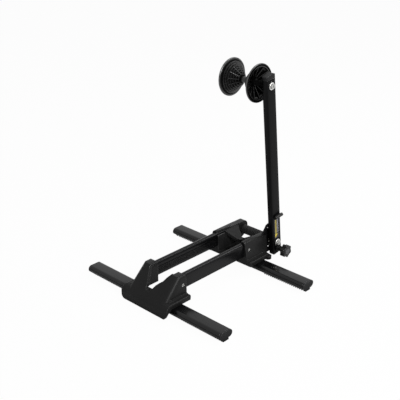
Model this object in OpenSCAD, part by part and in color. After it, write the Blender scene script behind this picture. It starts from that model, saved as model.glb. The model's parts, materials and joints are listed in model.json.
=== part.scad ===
// Floor bike rack: two cross feet, two rails, a wheel cradle in front, a bracket
// with a roller behind, and a hinged arm that holds the tyre between two discs.
// X runs across the rack towards the arm's side, Y from front to rear, Z up.

/* [Feet] */
// Length of each foot tube, across the rack
foot_len = 440; // [400:5:480]
// Width of the foot tube, over its round sides
foot_w = 40; // [36:1:44]
// Height of the foot tube
foot_h = 18; // [16:1:20]
// Wall of the foot tube
foot_wall = 2.2; // [1.6:0.1:2.6]
// Distance between the two feet, centre to centre
foot_gap = 292.7; // [285:0.1:310]
// Height of the rubber pads below the foot tube
pad_h = 6; // [5:0.5:8]
// Width of a rubber pad
pad_w = 17; // [14:0.5:20]
// Distance from the middle of the rack to the start of a pad
pad_start = 92; // [80:1:110]
// Distance between two ribs of a pad
pad_rib_pitch = 6; // [5:0.5:9]
// Thickness of a foot's end cap outside the tube
foot_cap_t = 4; // [3:0.5:6]

/* [Rails] */
// Width of a rail
rail_w = 14; // [12:0.5:14.5]
// Height of a rail, with its round top
rail_h = 35.5; // [32:0.5:37]
// Distance between the two rails, centre to centre
rail_pitch = 88; // [87:0.5:90]
// Space between the top of the feet and the underside of the rails
rail_rise = 20.5; // [19:0.5:21]
// Wall of a rail
rail_wall = 1.8; // [1.4:0.1:2.2]

/* [Cradle and bracket] */
// Width of the side lips of both mouldings, outside the flanks
lip_w = 14; // [12:1:16]
// Thickness of the floor of both mouldings
base_t = 7; // [6:0.5:9]
// Height of the side lips
lip_h = 13; // [12:0.5:14]
// Thickness of the flanks outside the rails, at their foot
flank_out_low = 11; // [10.5:0.5:11.5]
// Thickness of the cradle's flanks outside the rails, at their top
cradle_out_high = 9; // [7:0.5:10]
// Thickness of the bracket's flanks outside the rails, at their top
bracket_out_high = 2; // [1.5:0.5:3]
// Height of the flanks above the feet
flank_h = 60; // [58:0.5:62]
// Wall between a rail and the cradle's open channel
socket_wall = 4.5; // [3.5:0.5:6]
// Distance from the front foot's centre to the cradle's lowest front edge
cradle_front = 39.4; // [39:0.1:44]
// Distance from the front foot's centre to the cradle's rear face
cradle_back = 40.6; // [38:0.1:46]
// Space between the floor and the cradle's lowest edge
apron_clear = 3.5; // [3:0.5:5]
// Distance from the front of the bracket to the centre of the rear foot
bracket_front = 40.6; // [38:0.1:44]
// Distance from the centre of the rear foot to the end of the bracket's flanks
bracket_flank_back = 39.9; // [38:0.1:42]

/* [Roller and pivot] */
// Distance from the rear foot's centre to the pivot axis
pivot_back = 60.5; // [60:0.1:64]
// Height of the pivot axis above the feet
pivot_rise = 33.9; // [33:0.1:35]
// Diameter of the pivot bolt
pivot_d = 8; // [7:0.5:9]
// Diameter of the roller over its rubber sleeve
roller_d = 24; // [20:0.5:26]
// Thickness of the roller's rubber sleeve
sleeve_t = 3; // [2:0.5:4]

/* [Arm] */
// Depth of the arm tube, front to rear
arm_d = 32; // [30:0.5:33]
// Width of the arm tube, across the rack
arm_w = 15.5; // [15:0.5:16]
// Wall of the arm tube
arm_wall = 2; // [1.5:0.1:2.5]
// Distance from the pivot up to the axis of the discs
arm_reach = 417.6; // [410:0.2:425]
// Length of the arm tube above the axis of the discs
arm_over = 17; // [14:0.5:19]
// Length of the arm tube below the pivot
arm_under = 28; // [26:0.5:29]
// Lean of the arm towards the front, as the rack stands in use
arm_lean = 6.5; // [0:0.5:12]
// Distance from the middle of the rack to the arm's inner face
arm_offset = 60; // [59.5:0.5:62]

/* [Discs] */
// Diameter of the discs
disc_d = 92.4; // [88:0.2:100]
// Distance from the waist to the outer face of a disc
disc_depth = 43.4; // [41:0.2:45]
// Wall of the discs
disc_wall = 2.6; // [2.2:0.1:3]
// Radius of the waist between the discs
waist_r = 7.4; // [7:0.2:8.6]
// Distance of the waist from the middle of the rack, away from the arm
waist_shift = 3; // [0:0.5:4]
// Number of steps on the cone of a disc
disc_steps = 7; // [5:1:9]
// Number of webs on the back of a disc
disc_webs = 12; // [8:1:16]

/* [Lock knob] */
// Diameter of the knob's head, over its lobes
knob_d = 33; // [30:1:35]
// Length of the knob's head
knob_h = 14; // [12:0.5:16]
// Length of the knob's neck, from the arm to the head
knob_neck = 18.5; // [17:0.5:22]
// Distance from the pivot down to the lock stud
lock_drop = 16.5; // [16:0.1:17]
// Diameter of the lock stud
stud_d = 6; // [5:0.5:7]

/* [Hidden] */

// Fineness of round faces
$fn = 48;
// Overrun of every cut past the face it opens
over = 1;
// Clearance between pieces that slide into each other by hand
fit = 0.2;
// Clearance of a hole round its screw or bolt
hole_fit = 0.3;
// Running clearance of a shaft in its bore, on the radius
run_fit = 0.05;
// Gap between a turning piece and the wall beside it
side_gap = 0.4;
// Steps of one rounded corner of an outline
corner_steps = 5;

// Widths of both mouldings, worked out from the rails
flank_foot_w = rail_pitch + rail_w + 2 * flank_out_low;
cradle_top_w = rail_pitch + rail_w + 2 * cradle_out_high;
bracket_top_w = rail_pitch + rail_w + 2 * bracket_out_high;
base_w = flank_foot_w + 2 * lip_w;
channel_w = rail_pitch - rail_w - 2 * socket_wall;

foot_top = pad_h + foot_h;
rail_z = foot_top + rail_rise;
rail_x = rail_pitch / 2;
flank_z = foot_top + flank_h;
pivot_z = foot_top + pivot_rise;
bracket_y = foot_gap - bracket_front;
flank_end_y = foot_gap + bracket_flank_back;
pivot_y = foot_gap + pivot_back;

// Ears that carry the roller, behind the flanks
ear_inner_x = 38;
ear_t = 7;
left_ear_t = 11;
ear_back = 17;
ear_r = 16.5;
ear_drop = 1;
ear_under = 12;
ear_under_r = 12;
ear_toe = 6;
// Rearmost edge of the quadrant plate, behind the pivot axis
plate_back = 21;

// The whole rack stands with the middle of its box on the origin
front_reach = cradle_front;
rear_reach = pivot_y + plate_back;
shift_y = (rear_reach - front_reach) / 2;

// Rounded corner of an outline: the points of the fillet at p1
function unit(v) = v / norm(v);
function fillet(p0, p1, p2, r) =
    let (u = unit(p0 - p1), v = unit(p2 - p1),
        half = acos(max(-1, min(1, u * v))) / 2,
        c = p1 + unit(u + v) * r / sin(half),
        s = p1 + u * r / tan(half) - c,
        e = p1 + v * r / tan(half) - c,
        a0 = atan2(s[1], s[0]),
        turn = atan2(e[1], e[0]) - a0,
        sweep = turn > 180 ? turn - 360 : (turn < -180 ? turn + 360 : turn))
    [for (i = [0:corner_steps])
        let (a = a0 + sweep * i / corner_steps) c + r * [cos(a), sin(a)]];
// Outline from corners [x, y, radius]; a radius of zero keeps the corner sharp
function outline(pts) =
    [for (i = [0:len(pts) - 1])
        let (n = len(pts), a = pts[(i + n - 1) % n], b = pts[i], c = pts[(i + 1) % n])
        each b[2] == 0 ? [[b[0], b[1]]]
            : fillet([a[0], a[1]], [b[0], b[1]], [c[0], c[1]], b[2])];

// Prism along Y of an outline drawn as [x, z]
module along_y(y0, y1) {
    translate([0, y1, 0]) rotate([90, 0, 0]) linear_extrude(y1 - y0) children();
}
// Prism along X of an outline drawn as [y, z]
module along_x(x0, x1) {
    translate([x0, 0, 0]) rotate([90, 0, 90]) linear_extrude(x1 - x0) children();
}
// Round bar along X between two places
module bar_x(x0, x1, r, y, z) {
    translate([x0, y, z]) rotate([0, 90, 0]) cylinder(h = x1 - x0, r = r);
}
module both_sides() {
    children();
    mirror([1, 0, 0]) children();
}
// Everything is drawn from the front foot's centre, then put over the origin
module placed() {
    translate([0, -shift_y, 0]) children();
}
// Arm pieces are drawn upright with the pivot at zero, then leaned and put in place
module on_arm() {
    placed() translate([0, pivot_y, pivot_z]) rotate([arm_lean, 0, 0]) children();
}

// Foot tube

// Width of the slot that holds the pads in the underside of a foot tube
pad_slot_w = 9;
// Height of the pad's head inside the tube
pad_head_h = 2;
pad_head_w = 13;
// Grooves along the round sides of a foot tube
groove_r = 0.8;
groove_rise = 3.2;
// Plug of an end cap inside the tube, and the share of the pad's height left open below its tongue
cap_plug = 12;
tongue_share = 0.1;
// Share of the pad's height that is solid strip above its ribs, and of the pitch that is rib
strip_share = 0.5;
rib_share = 0.5;
// Bolts from the feet up into the mouldings
foot_bolt_d = 6;
foot_bolt_head_d = 11;
foot_bolt_head_h = 3.4;
foot_bolt_grip = 14;

module foot_section(grow = 0) {
    h = foot_h + 2 * grow;
    flat = foot_w - foot_h;
    square([flat, h], center = true);
    for (s = [-1, 1])
        translate([s * flat / 2, 0]) circle(d = h);
}
module foot_tube(y) {
    z = pad_h + foot_h / 2;
    len = foot_len - 2 * foot_cap_t;
    difference() {
        translate([0, y, z])
            along_x(-len / 2, len / 2)
                difference() {
                    foot_section();
                    foot_section(-foot_wall);
                    translate([0, -foot_h / 2]) square([pad_slot_w, 2 * foot_wall + over], center = true);
                    for (sy = [-1, 1], sz = [-1, 1])
                        translate([
                            sy * (foot_w - foot_h) / 2 + sy * sqrt(pow(foot_h / 2, 2) - pow(groove_rise, 2)),
                            sz * groove_rise])
                            circle(r = groove_r);
                }
        for (s = [-1, 1])
            translate([s * rail_x, y, pad_h - over])
                cylinder(h = foot_h + 2 * over, d = foot_bolt_d + hole_fit);
    }
}
module foot_end_caps(y) {
    z = pad_h + foot_h / 2;
    plug_fit = foot_wall + fit;
    both_sides() {
        // Outer plate, with the narrow part that covers the end of the pad
        along_x(foot_len / 2 - foot_cap_t, foot_len / 2) {
            translate([y, z]) foot_section();
            translate([y - pad_w / 2, pad_h * tongue_share]) square([pad_w, pad_h + foot_wall]);
        }
        // Plug inside the tube
        along_x(foot_len / 2 - foot_cap_t - cap_plug, foot_len / 2 - foot_cap_t)
            difference() {
                translate([y, z]) foot_section(-plug_fit);
                translate([y, pad_h])
                    square([pad_head_w + 2 * fit, 2 * (foot_wall + pad_head_h) + 2 * fit], center = true);
            }
    }
}
module foot_pads(y) {
    end = foot_len / 2 - foot_cap_t - fit;
    base = pad_h * strip_share;
    rib = pad_rib_pitch * rib_share;
    count = floor((end - pad_start) / pad_rib_pitch);
    both_sides() {
        // Strip with a head held inside the tube
        along_x(pad_start, end) {
            translate([y - pad_w / 2, base]) square([pad_w, pad_h - base]);
            translate([y - pad_slot_w / 2 + fit, base])
                square([pad_slot_w - 2 * fit, pad_h - base + foot_wall + fit]);
            translate([y - pad_head_w / 2, pad_h + foot_wall + fit]) square([pad_head_w, pad_head_h]);
        }
        // Cross ribs that meet the floor
        for (i = [0:count - 1])
            translate([pad_start + i * pad_rib_pitch, y - pad_w / 2, 0])
                cube([rib, pad_w, base + over]);
        translate([end - rib, y - pad_w / 2, 0]) cube([rib, pad_w, base + over]);
    }
}
module foot_bolts(y) {
    grip = pad_h + foot_h + foot_bolt_grip;
    for (s = [-1, 1])
        translate([s * rail_x, y, 0]) {
            translate([0, 0, pad_h - foot_bolt_head_h]) cylinder(h = foot_bolt_head_h, d = foot_bolt_head_d);
            translate([0, 0, pad_h - over]) cylinder(h = grip - pad_h + over, d = foot_bolt_d);
        }
}

// Rails

rail_front_y = 15;
rail_in_bracket = 48;
rail_end_y = bracket_y + rail_in_bracket;
// Toothed band on the inner face of each rail
tooth_pitch = 2.5;
tooth_d = 0.6;
tooth_band_h = 13;
tooth_band_rise = 6;
tooth_share = 0.5;
rail_ledge = 1.2;
rail_groove_h = 4;

module rail_section(grow = 0) {
    w = rail_w + 2 * grow;
    translate([-w / 2, -grow]) square([w, rail_h - rail_w / 2 + grow]);
    translate([0, rail_h - rail_w / 2]) circle(d = w);
}
// Rail whose inner face looks to +X
module rail() {
    band_top = tooth_band_rise + tooth_band_h;
    difference() {
        along_y(rail_front_y, rail_end_y)
            difference() {
                rail_section();
                // Hollow below the round top
                translate([-rail_w / 2 + rail_wall, rail_wall])
                    square([rail_w - 2 * rail_wall - rail_ledge, rail_h - rail_w / 2 - 2 * rail_wall]);
                // Sunk band for the teeth and the groove above it
                translate([rail_w / 2 - tooth_d, tooth_band_rise]) square([tooth_d + over, tooth_band_h]);
                translate([rail_w / 2 - rail_ledge, band_top + rail_ledge])
                    square([rail_ledge + over, rail_groove_h]);
            }
        for (y = [cradle_screw_y, bracket_screw_y])
            bar_x(-rail_w / 2 - over, -rail_w / 2 + rail_wall + over, screw_d / 2 + run_fit, y, screw_rise);
    }
    // Teeth stand in the sunk band, between the two mouldings
    first = cradle_back + tooth_pitch;
    count = floor((bracket_y - first) / tooth_pitch);
    for (i = [0:count - 1])
        translate([rail_w / 2 - 2 * tooth_d, first + i * tooth_pitch, tooth_band_rise - tooth_d])
            cube([2 * tooth_d, tooth_pitch * tooth_share, tooth_band_h + 2 * tooth_d]);
}

// Screws through the flanks into the rails
screw_d = 4;
screw_head_d = 8;
screw_head_h = 2.6;
screw_rise = 16;
screw_sink = 1.2;
screw_from_cradle_end = 9.5;
screw_from_bracket_end = 14;
cradle_screw_y = cradle_back - screw_from_cradle_end;
bracket_screw_y = bracket_y + screw_from_bracket_end;
// Cross recess of a screw's head
cross_w = 1.2;
cross_d = 1.6;
cross_share = 0.6;

// Half width over the flanks at a height above the floor, from their width at the top
function flank_x(z, top_w) = flank_foot_w / 2
    + (top_w - flank_foot_w) / 2 * (z - ramp_top) / (flank_z - ramp_top);

module flank_screws(y, top_w) {
    z = rail_z + screw_rise;
    head_x = flank_x(z, top_w) - screw_sink;
    tip_x = rail_x + rail_w / 2 - rail_wall - over;
    both_sides() {
        difference() {
            bar_x(head_x - screw_head_h, head_x, screw_head_d / 2, y, z);
            for (a = [0, 90])
                translate([head_x, y, z]) rotate([a, 0, 0])
                    cube([2 * cross_d, screw_head_d * cross_share, cross_w], center = true);
        }
        bar_x(tip_x, head_x - screw_head_h + over, screw_d / 2, y, z);
    }
}
module screw_pocket(y, top_w) {
    z = rail_z + screw_rise;
    head_x = flank_x(z, top_w) - screw_sink - screw_head_h;
    both_sides() {
        bar_x(head_x, base_w / 2, screw_head_d / 2 + hole_fit, y, z);
        bar_x(rail_x, base_w / 2, screw_d / 2 + hole_fit, y, z);
    }
}

// Outlines shared by the cradle and the bracket, drawn as [x, z]

flank_round = 8;
// How far the flank steps in where it meets the foot
flank_step = 1;
flank_skirt = 2;
lip_taper = 2;
edge_r = 1;
lip_edge_r = 3.5;
// Ramp from the lip up to the flank
ramp_w = 5;
ramp_r = 4;
lip_top = foot_top + lip_h;
ramp_top = lip_top + flank_skirt;

// Solid ledge along the foot of a flank
module lip_outline() {
    polygon(outline([
        [rail_x, foot_top, 0],
        [base_w / 2 - lip_taper, foot_top, edge_r],
        [base_w / 2, lip_top, lip_edge_r],
        [flank_foot_w / 2 + ramp_w, lip_top, ramp_r],
        [flank_foot_w / 2, ramp_top, 0],
        [rail_x, ramp_top, 0]]));
}
// Foot and side of a flank as [x, z], up to its rounded top edge
function flank_side(top_w) = [
    [flank_foot_w / 2 - flank_step, foot_top, 0],
    [flank_foot_w / 2, ramp_top, edge_r],
    [top_w / 2, flank_z, flank_round]];
module rail_sockets(y0, y1) {
    both_sides()
        translate([rail_x, 0, rail_z])
            along_y(y0, y1) rail_section(fit);
}
module foot_bolt_holes(y) {
    for (s = [-1, 1])
        translate([s * rail_x, y, foot_top - over])
            cylinder(h = foot_bolt_grip + 2 * over, d = foot_bolt_d);
}

// Front cradle

// Thickness of the sloping front wall, measured level
front_wall = 10;
// Apron in front of the foot, with its round lower corners
apron_t = 4;
apron_corner = 17;
apron_back = 16;
// Rounded edge between the front face and a flank, made of flat cuts
corner_r = 14;
corner_cuts = 7;
// Height above the feet at which the front face starts to slope back
chin_h = 2;
// Level distance the front face slopes back, up to the tower tops
face_run = 52;
brow_h = 55;
brow_run = 57;
brow_low_r = 8;
// Distance the front face steps back for its height
face_slope = face_run / (brow_h - chin_h);
brow_r = 3;
// Front face and lips leave the apron on one arc, which ends level with the lips
chin_r = (lip_h - chin_h) / (1 - tan(atan(face_slope) / 2));
toe_r = 1.5;
// Part of the floor that joins the towers, behind the middle of the foot
floor_back = 4;
tower_round = 8;
wing_round = 3;
tail_r = 2;
// Sweep from the apron into the underside of the lips
sweep_r = 15;
// Slanted edge along the slot's left side and bottom, and the share of its width that goes down
slot_rim = 3;
rim_share = 0.5;
// Notches in the slot's left edge, behind the slanted edge
slot_teeth = 8;
slot_tooth = 2.2;
slot_tooth_pitch = 4.8;
slot_tooth_low = 21;
// Front face as [y, z], from its lowest edge to the tower tops, moved back by push
function front_face(push) = [
    [-cradle_front + push, apron_clear, toe_r],
    [-cradle_front + push, foot_top + chin_h, chin_r],
    [-cradle_front + face_run + push, foot_top + brow_h, brow_low_r],
    [-cradle_front + brow_run + push, flank_z, brow_r]];

// Side view of the cradle as [y, z]
module cradle_side() {
    polygon(outline(concat(
        front_face(0),
        [[cradle_back, flank_z, brow_r],
        [cradle_back, foot_top, edge_r],
        [-cradle_front + apron_t, foot_top, sweep_r],
        [-cradle_front + apron_t, apron_clear, toe_r]])));
}
// Side view of a layer of the front wall, down to a level depth
module front_layer_side(depth) {
    face = front_face(depth);
    last = len(face) - 1;
    far = [for (i = [last:-1:0])
        face[i] + (i == last ? [2 * over, 2 * over, 0] : (i == 0 ? [0, 0, -toe_r] : [0, 0, 0]))];
    polygon(outline(concat(front_face(-over), far)));
}
// Side view of the lips and the apron: up the front on the chin's arc, then level
module wing_side() {
    level_y = -cradle_front + chin_r + edge_r;
    polygon(outline([
        [-cradle_front, apron_clear - over, 0],
        [-cradle_front, lip_top, chin_r],
        [level_y, lip_top, 0],
        [level_y + ramp_w, ramp_top, 0],
        [cradle_back + over, ramp_top, 0],
        [cradle_back + over, apron_clear - over, 0]]));
}
// Wheel slot in the front wall, seen from the front as [x, height above the feet]
slot_line = [[-33, 62, 0], [-32.5, 55, 4], [-12, 27, 4], [-9.5, 19, 5], [3, 19, 5], [11, 33, 3],
    [17.5, 39.5, 3], [23, 42.5, 3], [28.5, 52.5, 3], [34, 59, 2], [35, 62, 0]];
module wheel_slot() {
    polygon(outline([for (p = slot_line) [p[0], foot_top + p[1], p[2]]]));
}
// Place of the slot's left edge at a height above the feet
function slot_edge(h) =
    let (i = h < slot_line[2][1] ? 2 : 1, a = slot_line[i], b = slot_line[i + 1])
    a[0] + (b[0] - a[0]) * (h - a[1]) / (b[1] - a[1]);
// Level place of the front face at a height above the feet
function face_y(h) = -cradle_front + face_slope * (h - chin_h);
// Outline of one tower as [x, z]
module tower_outline() {
    x = channel_w / 2;
    polygon(outline(concat(
        [[x, foot_top + base_t, 0], [rail_x - flank_step, foot_top, 0]],
        flank_side(cradle_top_w),
        [[x, flank_z, tower_round]])));
}
module front_cradle_body() {
    difference() {
        intersection() {
            along_x(-base_w / 2, base_w / 2) cradle_side();
            union() {
                difference() {
                    union() {
                        both_sides() along_y(-cradle_front - over, cradle_back + over) tower_outline();
                        // Wall in front of the wheel
                        intersection() {
                            along_x(-rail_x, rail_x) front_layer_side(front_wall);
                            translate([-rail_x, -cradle_front, apron_clear])
                                cube([2 * rail_x, cradle_front + cradle_back, flank_z]);
                        }
                    }
                    both_sides() cradle_corner_round();
                }
                // Floor over the foot, from the front wall to behind the bolts
                translate([-rail_x, -cradle_front, foot_top])
                    cube([2 * rail_x, cradle_front + floor_back, base_t]);
                // Lips, and the apron in front of the foot with its round lower corners
                intersection() {
                    along_x(-base_w / 2, base_w / 2) wing_side();
                    union() {
                        both_sides() along_y(-cradle_front - over, cradle_back + over) lip_outline();
                        along_y(-cradle_front - over, -cradle_front + apron_back)
                            polygon(outline([
                                [-base_w / 2, apron_clear - over, apron_corner],
                                [base_w / 2, apron_clear - over, apron_corner],
                                [base_w / 2, lip_top, lip_edge_r],
                                [-base_w / 2, lip_top, lip_edge_r]]));
                    }
                }
            }
            // Round front corners, seen from above
            linear_extrude(flank_z + over)
                polygon(outline([
                    [-base_w / 2, -cradle_front, wing_round],
                    [base_w / 2, -cradle_front, wing_round],
                    [base_w / 2, cradle_back, tail_r],
                    [-base_w / 2, cradle_back, tail_r]]));
        }
        along_y(-cradle_front - over, cradle_back + over) wheel_slot();
        rail_sockets(rail_front_y - fit, cradle_back + over);
        screw_pocket(cradle_screw_y, cradle_top_w);
        foot_bolt_holes(0);
        slot_slant();
        slot_notches();
    }
}
// Rounds the edge between the front face and the flank with a few flat cuts
module cradle_corner_round() {
    face = unit([0, -1, face_slope]);
    flank = unit([flank_z - ramp_top, 0, (flank_foot_w - cradle_top_w) / 2]);
    // A point on the edge, at the foot of the flank
    edge = [flank_foot_w / 2, face_y(ramp_top - foot_top), ramp_top];
    core = edge - (face + flank) * corner_r / (1 + face * flank);
    for (i = [1:corner_cuts]) {
        n = unit(face * (1 - i / (corner_cuts + 1)) + flank * i / (corner_cuts + 1));
        translate(core + n * corner_r) rotate([0, -asin(n[2]), atan2(n[1], n[0])])
            translate([0, -flank_z, -flank_z / 2]) cube([flank_z, 2 * flank_z, 2 * flank_z]);
    }
}
// Slants the slot's left and lower edges: the slot shifts more, the nearer to the front face
module slot_slant() {
    back = -face_y(-foot_top) - slot_rim;
    intersection() {
        along_x(-base_w / 2, base_w / 2) front_layer_side(slot_rim);
        multmatrix([[1, 1, -face_slope, back],
            [0, 1, 0, 0],
            [0, rim_share, 1 - rim_share * face_slope, rim_share * back],
            [0, 0, 0, 1]])
            along_y(-cradle_front - over, cradle_back) wheel_slot();
    }
}
// Small notches down the slot's left edge, through the rear half of the wall
module slot_notches() {
    for (i = [0:slot_teeth - 1])
        let (h = slot_tooth_low + i * slot_tooth_pitch)
            translate([slot_edge(h) - slot_tooth, face_y(h) + front_wall / 2, foot_top + h])
                cube([2 * slot_tooth, front_wall, slot_tooth]);
}

// Rear bracket

// Level of the V-shaped saddle at the middle, above the feet
saddle_low = 37;
saddle_t = 6;
saddle_wall_front = 25;
saddle_mid_front = 42.5;
saddle_mid_back = 53;
saddle_wall_back = 84;
saddle_inset = 6;
saddle_lift = 1;
saddle_flat = 8;
saddle_v_r = 10;
saddle_front_r = 12;
saddle_back_r = 14;
// Inner face of the walls: its distance from the middle, low and high
wall_low_x = 33;
wall_mid_x = 34.5;
wall_high_x = 41.5;
wall_mid_h = 44;
wall_high_r = 2;
wall_mid_r = 4;
ear_step = 3;
ear_slope_r = 3;
lip_short = 10;
boss_r = 17;
boss_h = 3;
boss_wall = 3;
// Rounded heel at the rear end of each side lip
heel_r = 9;
heel_short = 13;
heel_reach = 82.5;
heel_rise = 1;
heel_in = 3;
// Quadrant plate in its slot in the right flank
plate_x = 50;
plate_t = 4;

module bracket_side(back) {
    polygon(outline([
        [bracket_y, foot_top, 0],
        [bracket_y, flank_z, wall_high_r],
        [back, flank_z - ear_step, ear_slope_r],
        [back, foot_top, 0]]));
}
// Outline of one wall of the bracket as [x, z]
module bracket_wall_outline() {
    polygon(outline(concat(
        [[0, foot_top, 0]],
        flank_side(bracket_top_w),
        [[wall_high_x, flank_z, wall_high_r],
        [wall_mid_x, foot_top + wall_mid_h, wall_mid_r],
        [wall_low_x, foot_top + base_t, wall_high_r],
        [0, foot_top + base_t, 0]])));
}
module ear_side() {
    y0 = flank_end_y - 2 * ear_r;
    z1 = flank_z - ear_step;
    polygon(outline([
        [y0, foot_top + base_t, 0],
        [y0, z1, 0],
        [pivot_y + ear_back, z1 - ear_drop, ear_r],
        [pivot_y + ear_back, pivot_z - ear_under, ear_under_r],
        [flank_end_y + ear_toe, foot_top + base_t, ear_toe]]));
}
module saddle() {
    wall = bracket_top_w / 2 - saddle_inset;
    low = foot_top + saddle_low;
    high = flank_z - ear_step + saddle_lift;
    v_half = saddle_flat / 2;
    v_r = saddle_v_r;
    intersection() {
        along_y(bracket_y, bracket_y + saddle_wall_back)
            polygon(outline([
                [-wall, high, 0],
                [-v_half, low, v_r],
                [v_half, low, v_r],
                [wall, high, 0],
                [wall, high - 2 * saddle_t, 0],
                [v_half, low - saddle_t, v_r],
                [-v_half, low - saddle_t, v_r],
                [-wall, high - 2 * saddle_t, 0]]));
        translate([0, bracket_y, 0]) linear_extrude(flank_z + over)
            polygon(outline([
                [-wall, saddle_wall_front, 0],
                [0, saddle_mid_front, saddle_front_r],
                [wall, saddle_wall_front, 0],
                [wall, saddle_wall_back, 0],
                [0, saddle_mid_back, saddle_back_r],
                [-wall, saddle_wall_back, 0]]));
        along_x(-base_w / 2, base_w / 2) bracket_side(bracket_y + saddle_wall_back + over);
    }
}
module rear_bracket_body() {
    lip_end_y = flank_end_y - lip_short;
    heel_y = flank_end_y - heel_short;
    difference() {
        union() {
            intersection() {
                both_sides() along_y(bracket_y, flank_end_y) bracket_wall_outline();
                along_x(-base_w / 2, base_w / 2) bracket_side(flank_end_y);
            }
            both_sides() along_y(bracket_y, lip_end_y) lip_outline();
            // Ears that carry the roller and the arm; the left one carries on the whole flank
            intersection() {
                along_x(-base_w / 2, -ear_inner_x) ear_side();
                both_sides() along_y(bracket_y, pivot_y + ear_back)
                    polygon(outline(concat(
                        [[0, foot_top, 0]],
                        flank_side(bracket_top_w),
                        [[0, flank_z, 0]])));
            }
            along_x(ear_inner_x, ear_inner_x + ear_t) ear_side();
            saddle();
            // Ring boss on the floor
            translate([0, foot_gap, foot_top]) cylinder(h = base_t + boss_h, r = boss_r);
            // Heels at the rear ends of the lips
            both_sides()
                intersection() {
                    translate([heel_reach - heel_r, heel_y, foot_top])
                        cylinder(h = base_t + heel_rise, r = heel_r);
                    translate([flank_foot_w / 2 + heel_in, heel_y - 2 * heel_r, foot_top])
                        cube([heel_reach, 4 * heel_r, lip_h]);
                }
        }
        translate([0, foot_gap, foot_top + base_t]) cylinder(h = boss_h + over, r = boss_r - boss_wall);
        rail_sockets(bracket_y - over, rail_end_y + fit);
        screw_pocket(bracket_screw_y, bracket_top_w);
        foot_bolt_holes(foot_gap);
        // Bore for the pivot bolt through both ears
        bar_x(-base_w / 2, base_w / 2, pivot_d / 2 + hole_fit, pivot_y, pivot_z);
        // Seat of the nut in the left ear
        bar_x(-base_w / 2, -ear_inner_x - left_ear_t + nut_sink, nut_d / 2 + hole_fit, pivot_y, pivot_z);
        // Slot for the quadrant plate
        along_x(plate_x - fit, plate_x + plate_t + fit) plate_slot();
        foot_relief();
    }
}
// Clears the foot of the arm as it leans back past the right flank
relief_r = 36;
module foot_relief() {
    intersection() {
        bar_x(arm_offset - side_gap, base_w / 2, relief_r, pivot_y, pivot_z);
        translate([0, bracket_y, foot_top + base_t]) cube([base_w, 2 * foot_gap, flank_h]);
    }
}
module plate_slot() {
    polygon(outline([
        [plate_front_y - fit, plate_foot_z - fit, plate_small_r],
        [flank_end_y + over, plate_foot_z - fit, 0],
        [flank_end_y + over, flank_z + over, 0],
        [flank_end_y - plate_edge_in - fit, flank_z + over, 0],
        [plate_front_y - fit, flank_z - tongue_drop + fit, 0]]));
}

// Quadrant plate: carries the arm's pivot and the curved slot of the lock

plate_r = 48;
plate_in_flank = 16;
plate_over_floor = 5;
plate_front_y = flank_end_y - plate_in_flank;
plate_foot_z = foot_top + base_t + plate_over_floor;
plate_hole_r = 38.6;
plate_hole_lean = 19;
plate_hole_d = 7;
plate_small_r = 3;
plate_big_r = 8;
plate_toe_back = 10;
plate_edge_low = 10;
plate_edge_high = 18;
plate_top_back = 6;
plate_top_front = 14;
// Front edge of the plate where it leaves the flank's top, and the tongue's front below that
plate_edge_in = 11.5;
tongue_drop = 16;
// Behind the flank the plate hangs lower
plate_gap = 1;
plate_low = 3;
// Room round the lock stud in its slot
lock_slot_fit = 0.6;
// Leans of the arm from upright at the two ends of its travel
fold_lean = 80;
back_lean = 30;

// Steps of each arc of the curved slot
slot_steps = 16;
// Points of an arc round the pivot, or round another centre, between two leans
function lean_arc(r, from, to, centre = [0, 0]) =
    [for (i = [0:slot_steps])
        let (a = from + (to - from) * i / slot_steps) centre + r * [sin(a), -cos(a)]];
// Curved slot that the lock stud travels in, from leaned back to folded, as [y, z]
module lock_slot() {
    r = stud_d / 2 + lock_slot_fit;
    back_end = lock_drop * [sin(-back_lean), -cos(back_lean)];
    fold_end = lock_drop * [sin(fold_lean), -cos(fold_lean)];
    polygon(concat(
        lean_arc(lock_drop + r, -back_lean, fold_lean),
        lean_arc(r, fold_lean, fold_lean + 180, fold_end),
        lean_arc(lock_drop - r, fold_lean, -back_lean),
        lean_arc(r, 180 - back_lean, 360 - back_lean, back_end)));
}
module quadrant_plate_body() {
    x0 = plate_x - over;
    x1 = plate_x + plate_t + over;
    difference() {
        along_x(plate_x, plate_x + plate_t)
            intersection() {
                translate([pivot_y, pivot_z]) circle(r = plate_r);
                polygon(outline([
                    [plate_front_y, plate_foot_z, plate_small_r],
                    [flank_end_y + plate_gap, plate_foot_z, 0],
                    [flank_end_y + plate_gap, foot_top + plate_low, plate_small_r],
                    [pivot_y + plate_toe_back, foot_top + plate_low, plate_big_r],
                    [pivot_y + plate_back, pivot_z - plate_edge_low, plate_big_r],
                    [pivot_y + plate_back, pivot_z + plate_edge_high, plate_big_r],
                    [pivot_y + plate_top_back, pivot_z + plate_r + over, 0],
                    [pivot_y - plate_top_front, pivot_z + plate_r + over, 0],
                    [flank_end_y - plate_edge_in, flank_z, 0],
                    [plate_front_y, flank_z - tongue_drop, 0]]));
            }
        bar_x(x0, x1, pivot_d / 2 + run_fit, pivot_y, pivot_z);
        // See-through hole near the top edge
        translate([0, pivot_y, pivot_z]) rotate([plate_hole_lean, 0, 0])
            bar_x(x0, x1, plate_hole_d / 2, 0, plate_hole_r);
        translate([0, pivot_y, pivot_z]) along_x(x0, x1) lock_slot();
    }
}

// Roller and pivot bolt

nut_d = 14;
nut_t = 6.5;
nut_sink = 3;
washer_t = 1.5;
washer_d = 18;
head_d = 13;
head_t = 4;
socket_d = 6.5;
socket_share = 0.5;
bush_t = 5;
bush_head_d = 22;
bush_neck_d = 14;
bolt_stickout = 2;
pivot_left_x = -ear_inner_x - left_ear_t + nut_sink - nut_t - bolt_stickout;
arm_face_x = arm_offset + arm_w;

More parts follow.
